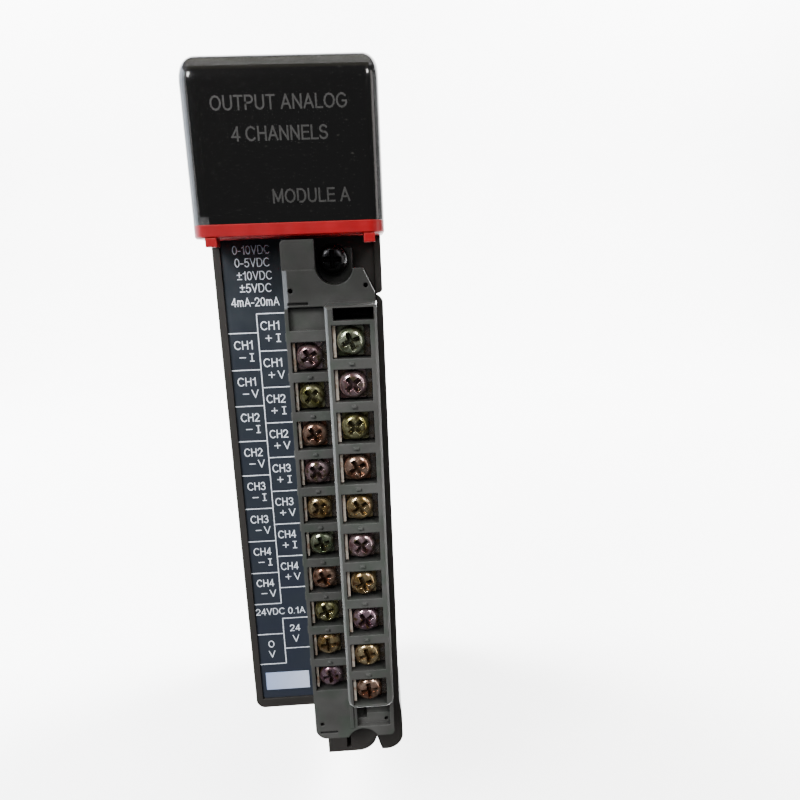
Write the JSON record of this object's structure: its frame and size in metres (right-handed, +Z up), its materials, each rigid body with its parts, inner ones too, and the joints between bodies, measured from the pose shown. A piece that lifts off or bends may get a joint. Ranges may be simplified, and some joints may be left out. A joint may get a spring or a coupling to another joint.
{
  "type": "controller output module",
  "caption": "Slim upright rack module for a programmable controller: printed wiring label, smoked lens with a red bar, and a plug-off two-level screw terminal block at its front.",
  "frame": {"origin": "centre of the flat rear face of the case, which seats on the rack", "axes": "+Z up along the module's height, +Y out of the rear face towards the rack, +X to the right when seen from the front"},
  "size_m": [0.0344, 0.1174, 0.15],
  "materials": {
    "bezel_plastic": "fine moulded texture, near-black warm grey",
    "case_plastic": "fine spark-eroded texture, charcoal",
    "smoked_lens": "polished smoked clear plastic, almost black",
    "red_bar": "satin moulded red",
    "label_film": "printed dark navy polyester film",
    "write_on_film": "pale blue-white write-on area",
    "block_plastic": "moulded dark grey, semi-matte",
    "plated_screw": "zinc plated with yellow and pink tints",
    "contact_plate": "tin plated brass, dark reflections",
    "black_steel": "black oxide",
    "brass": "turned brass",
    "bright_steel": "bright zinc plate",
    "socket_plastic": "black moulded",
    "board": "green solder mask",
    "chip": "black epoxy with tinned leads",
    "gold_contact": "gold flash",
    "can": "dark blue sleeve",
    "ferrite": "sintered ferrite",
    "winding_tape": "amber polyester tape",
    "clear_plastic": "polished clear",
    "lamp": "tinted green",
    "trimmer": "blue moulded",
    "card": "printed dark card"
  },
  "bodies": {
    "module": {"front_bezel": "bezel_plastic", "rear_case": "case_plastic", "indicator_lens": "smoked_lens", "colour_bar": "red_bar", "indicator_carrier": "bezel_plastic", "indicator_card": "card", "light_guide": "clear_plastic", "status_lamp": "lamp", "wiring_label": "label_film", "write_on_strip": "write_on_film", "retaining_inserts": "brass", "socket_housing": "socket_plastic", "socket_pins": "bright_steel", "terminal_board": "board", "board_screws": "bright_steel", "main_board": "board", "board_link": "socket_plastic", "backplane_connector": "socket_plastic", "backplane_contacts": "gold_contact", "optocouplers": "chip", "converter_chips": "chip", "output_amplifiers": "chip", "controller_chip": "chip", "filter_capacitors": "can", "transformer_core": "ferrite", "transformer_winding": "winding_tape", "calibration_trimmers": "trimmer", "voltage_regulator": "chip"},
    "terminal_block": {"terminal_block": "block_plastic", "terminal_contacts": "contact_plate"},
    "terminal_screw_01": {"terminal_screw_01": "plated_screw"},
    "terminal_screw_02": {"terminal_screw_02": "plated_screw"},
    "terminal_screw_03": {"terminal_screw_03": "plated_screw"},
    "terminal_screw_04": {"terminal_screw_04": "plated_screw"},
    "terminal_screw_05": {"terminal_screw_05": "plated_screw"},
    "terminal_screw_06": {"terminal_screw_06": "plated_screw"},
    "terminal_screw_07": {"terminal_screw_07": "plated_screw"},
    "terminal_screw_08": {"terminal_screw_08": "plated_screw"},
    "terminal_screw_09": {"terminal_screw_09": "plated_screw"},
    "terminal_screw_10": {"terminal_screw_10": "plated_screw"},
    "terminal_screw_11": {"terminal_screw_11": "plated_screw"},
    "terminal_screw_12": {"terminal_screw_12": "plated_screw"},
    "terminal_screw_13": {"terminal_screw_13": "plated_screw"},
    "terminal_screw_14": {"terminal_screw_14": "plated_screw"},
    "terminal_screw_15": {"terminal_screw_15": "plated_screw"},
    "terminal_screw_16": {"terminal_screw_16": "plated_screw"},
    "terminal_screw_17": {"terminal_screw_17": "plated_screw"},
    "terminal_screw_18": {"terminal_screw_18": "plated_screw"},
    "terminal_screw_19": {"terminal_screw_19": "plated_screw"},
    "terminal_screw_20": {"terminal_screw_20": "plated_screw"},
    "upper_retaining_washer": {"upper_retaining_washer": "black_steel"},
    "upper_retaining_screw": {"upper_retaining_screw": "black_steel"},
    "lower_retaining_washer": {"lower_retaining_washer": "black_steel"},
    "lower_retaining_screw": {"lower_retaining_screw": "black_steel"},
    "mounting_washer": {"mounting_washer": "bright_steel"},
    "mounting_screw": {"mounting_screw": "bright_steel"}
  },
  "joints": [
    {"name": "terminal_block_pull", "type": "slide", "parent": "module", "child": "terminal_block", "axis": [0, -1, 0], "range_m": [0, 0.025]},
    {"name": "terminal_screw_01_lift", "type": "slide", "parent": "terminal_block", "child": "terminal_screw_01", "axis": [0, -1, 0], "range_m": [0, 0.0025]},
    {"name": "terminal_screw_02_lift", "type": "slide", "parent": "terminal_block", "child": "terminal_screw_02", "axis": [0, -1, 0], "range_m": [0, 0.0025]},
    {"name": "terminal_screw_03_lift", "type": "slide", "parent": "terminal_block", "child": "terminal_screw_03", "axis": [0, -1, 0], "range_m": [0, 0.0025]},
    {"name": "terminal_screw_04_lift", "type": "slide", "parent": "terminal_block", "child": "terminal_screw_04", "axis": [0, -1, 0], "range_m": [0, 0.0025]},
    {"name": "terminal_screw_05_lift", "type": "slide", "parent": "terminal_block", "child": "terminal_screw_05", "axis": [0, -1, 0], "range_m": [0, 0.0025]},
    {"name": "terminal_screw_06_lift", "type": "slide", "parent": "terminal_block", "child": "terminal_screw_06", "axis": [0, -1, 0], "range_m": [0, 0.0025]},
    {"name": "terminal_screw_07_lift", "type": "slide", "parent": "terminal_block", "child": "terminal_screw_07", "axis": [0, -1, 0], "range_m": [0, 0.0025]},
    {"name": "terminal_screw_08_lift", "type": "slide", "parent": "terminal_block", "child": "terminal_screw_08", "axis": [0, -1, 0], "range_m": [0, 0.0025]},
    {"name": "terminal_screw_09_lift", "type": "slide", "parent": "terminal_block", "child": "terminal_screw_09", "axis": [0, -1, 0], "range_m": [0, 0.0025]},
    {"name": "terminal_screw_10_lift", "type": "slide", "parent": "terminal_block", "child": "terminal_screw_10", "axis": [0, -1, 0], "range_m": [0, 0.0025]},
    {"name": "terminal_screw_11_lift", "type": "slide", "parent": "terminal_block", "child": "terminal_screw_11", "axis": [0, -1, 0], "range_m": [0, 0.0025]},
    {"name": "terminal_screw_12_lift", "type": "slide", "parent": "terminal_block", "child": "terminal_screw_12", "axis": [0, -1, 0], "range_m": [0, 0.0025]},
    {"name": "terminal_screw_13_lift", "type": "slide", "parent": "terminal_block", "child": "terminal_screw_13", "axis": [0, -1, 0], "range_m": [0, 0.0025]},
    {"name": "terminal_screw_14_lift", "type": "slide", "parent": "terminal_block", "child": "terminal_screw_14", "axis": [0, -1, 0], "range_m": [0, 0.0025]},
    {"name": "terminal_screw_15_lift", "type": "slide", "parent": "terminal_block", "child": "terminal_screw_15", "axis": [0, -1, 0], "range_m": [0, 0.0025]},
    {"name": "terminal_screw_16_lift", "type": "slide", "parent": "terminal_block", "child": "terminal_screw_16", "axis": [0, -1, 0], "range_m": [0, 0.0025]},
    {"name": "terminal_screw_17_lift", "type": "slide", "parent": "terminal_block", "child": "terminal_screw_17", "axis": [0, -1, 0], "range_m": [0, 0.0025]},
    {"name": "terminal_screw_18_lift", "type": "slide", "parent": "terminal_block", "child": "terminal_screw_18", "axis": [0, -1, 0], "range_m": [0, 0.0025]},
    {"name": "terminal_screw_19_lift", "type": "slide", "parent": "terminal_block", "child": "terminal_screw_19", "axis": [0, -1, 0], "range_m": [0, 0.0025]},
    {"name": "terminal_screw_20_lift", "type": "slide", "parent": "terminal_block", "child": "terminal_screw_20", "axis": [0, -1, 0], "range_m": [0, 0.0025]},
    {"name": "upper_retaining_travel", "type": "slide", "parent": "terminal_block", "child": "upper_retaining_washer", "axis": [0, -1, 0], "range_m": [0, 0.004]},
    {"name": "upper_retaining_turn", "type": "hinge", "parent": "upper_retaining_washer", "child": "upper_retaining_screw", "pos_m": [0.0073, -0.095, 0.0397], "axis": [0, -1, 0], "range_deg": [0, 2881]},
    {"name": "lower_retaining_travel", "type": "slide", "parent": "terminal_block", "child": "lower_retaining_washer", "axis": [0, -1, 0], "range_m": [0, 0.004]},
    {"name": "lower_retaining_turn", "type": "hinge", "parent": "lower_retaining_washer", "child": "lower_retaining_screw", "pos_m": [0.0106, -0.095, -0.0526], "axis": [0, -1, 0], "range_deg": [0, 2881]},
    {"name": "mounting_travel", "type": "slide", "parent": "module", "child": "mounting_washer", "axis": [0, -1, 0], "range_m": [0, 0.0049]},
    {"name": "mounting_turn", "type": "hinge", "parent": "mounting_washer", "child": "mounting_screw", "pos_m": [0, -0.0068, 0.066], "axis": [0, -1, 0], "range_deg": [0, 2521]}
  ],
  "couplings": [
    {"joint": "upper_retaining_turn", "follows": "upper_retaining_travel", "rad_per_m": 12566},
    {"joint": "lower_retaining_turn", "follows": "lower_retaining_travel", "rad_per_m": 12566},
    {"joint": "mounting_turn", "follows": "mounting_travel", "rad_per_m": 8976}
  ]
}
